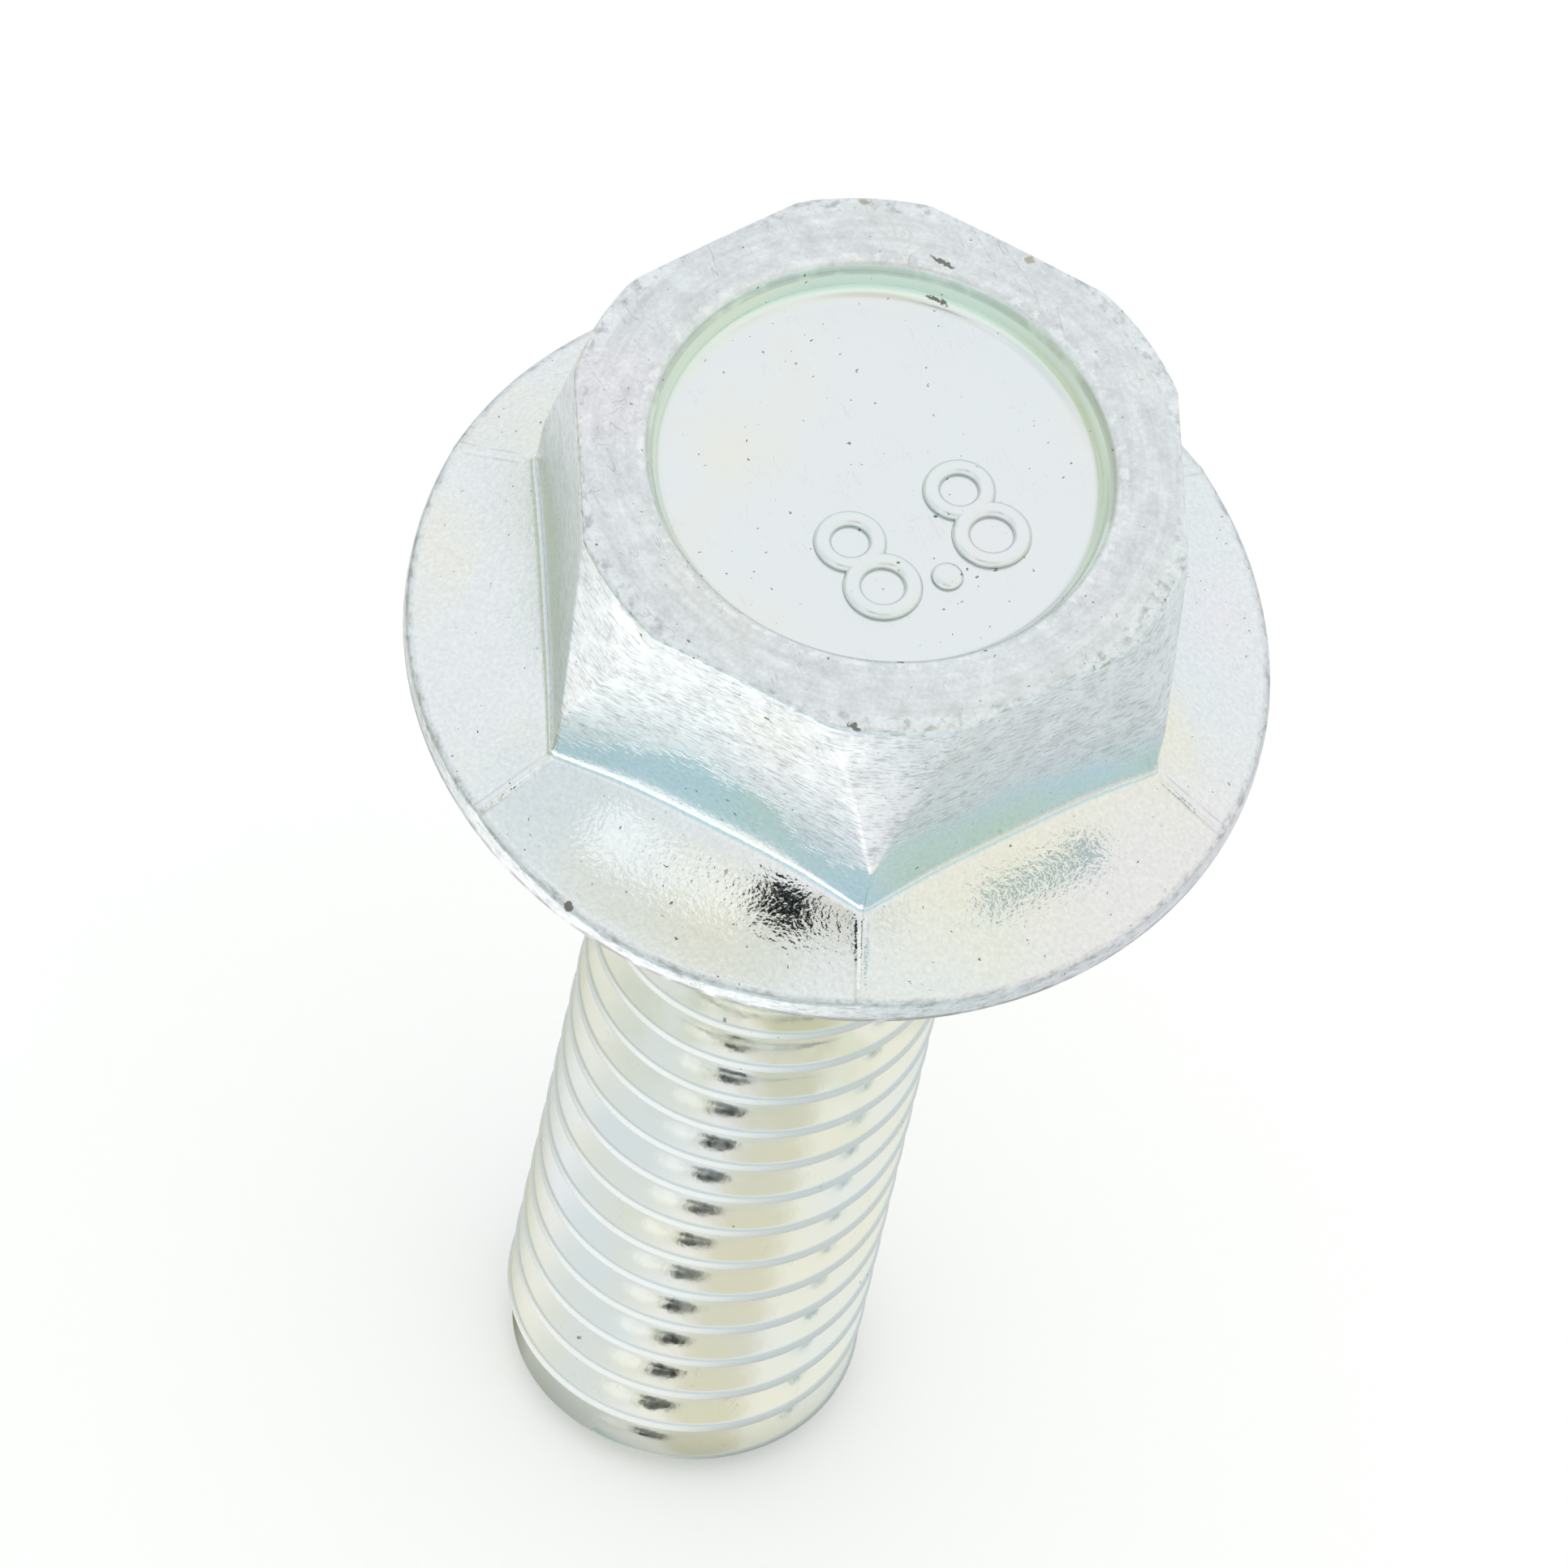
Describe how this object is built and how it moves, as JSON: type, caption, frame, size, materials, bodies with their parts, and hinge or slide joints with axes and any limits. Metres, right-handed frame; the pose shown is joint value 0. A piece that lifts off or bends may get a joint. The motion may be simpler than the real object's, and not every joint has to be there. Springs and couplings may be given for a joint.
{
  "type": "hexagon flange screw",
  "caption": "Fully threaded metric screw with a recessed hexagon head on a sloping six-sided flange, zinc plated, for clamping parts without a loose washer.",
  "frame": {"origin": "centre of the flange's bearing face, on the thread axis", "axes": "+Z along the thread axis toward the head, with a corner of the hexagon on +X"},
  "size_m": [0.0142, 0.0142, 0.0261],
  "materials": {
    "zinc_plate": "zinc plated and clear passivated steel, satin, faint blue and yellow tints"
  },
  "bodies": {
    "root": {"flange_screw": "zinc_plate"}
  },
  "joints": []
}
